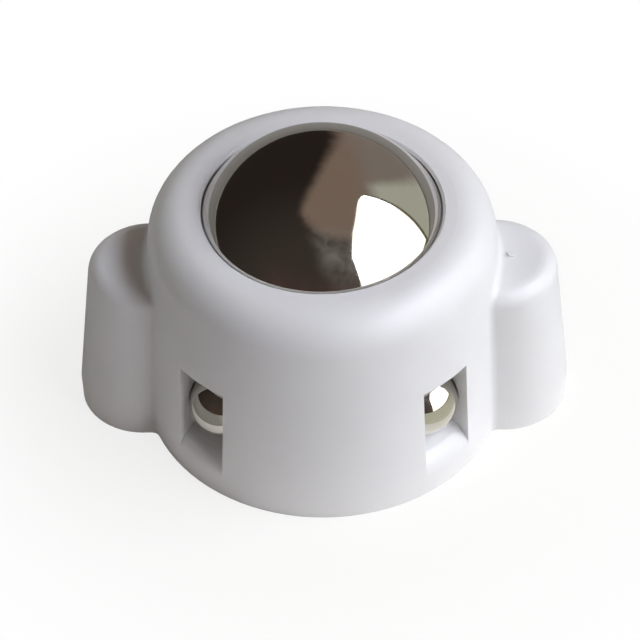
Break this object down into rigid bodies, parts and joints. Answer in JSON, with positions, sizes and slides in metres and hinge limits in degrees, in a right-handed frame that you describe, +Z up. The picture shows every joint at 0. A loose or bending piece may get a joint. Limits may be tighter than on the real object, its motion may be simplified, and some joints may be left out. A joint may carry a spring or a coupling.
{
  "type": "ball castor",
  "caption": "Small ball castor: a polished steel ball held in a white moulded cup on bearing balls that show through windows in its wall, with a screw lug on each side.",
  "frame": {"origin": "centre of the mounting base, on the plane it stands or is screwed down on", "axes": "+Z up along the ball's axis out of the base, +X through the two screw lugs"},
  "size_m": [0.022, 0.0162, 0.0141],
  "materials": {
    "white_nylon": "satin",
    "polished_steel": "polished"
  },
  "bodies": {
    "castor_body": {"housing": "white_nylon", "base_cover": "white_nylon"},
    "rolling_ball": {"main_ball": "polished_steel"},
    "bearing_1": {"bearing_ball_1": "polished_steel"},
    "bearing_2": {"bearing_ball_2": "polished_steel"},
    "bearing_3": {"bearing_ball_3": "polished_steel"},
    "bearing_4": {"bearing_ball_4": "polished_steel"}
  },
  "joints": [
    {"name": "ball_roll", "type": "hinge", "parent": "castor_body", "child": "rolling_ball", "pos_m": [0, 0, 0.0081], "axis": [1, 0, 0], "continuous": true},
    {"name": "bearing_1_roll", "type": "hinge", "parent": "castor_body", "child": "bearing_1", "pos_m": [0.00431, 0.00461, 0.00385], "axis": [0.8241, -0.4161, 0.3844], "continuous": true},
    {"name": "bearing_2_roll", "type": "hinge", "parent": "castor_body", "child": "bearing_2", "pos_m": [-0.00431, 0.00461, 0.00385], "axis": [0.8241, 0.4161, -0.3844], "continuous": true},
    {"name": "bearing_3_roll", "type": "hinge", "parent": "castor_body", "child": "bearing_3", "pos_m": [-0.00431, -0.00461, 0.00385], "axis": [0.8241, -0.4161, -0.3844], "continuous": true},
    {"name": "bearing_4_roll", "type": "hinge", "parent": "castor_body", "child": "bearing_4", "pos_m": [0.00431, -0.00461, 0.00385], "axis": [0.8241, 0.4161, 0.3844], "continuous": true}
  ],
  "couplings": [
    {"joint": "bearing_1_roll", "follows": "ball_roll", "ratio": -3.1147},
    {"joint": "bearing_2_roll", "follows": "ball_roll", "ratio": -3.1147},
    {"joint": "bearing_3_roll", "follows": "ball_roll", "ratio": -3.1147},
    {"joint": "bearing_4_roll", "follows": "ball_roll", "ratio": -3.1147}
  ]
}
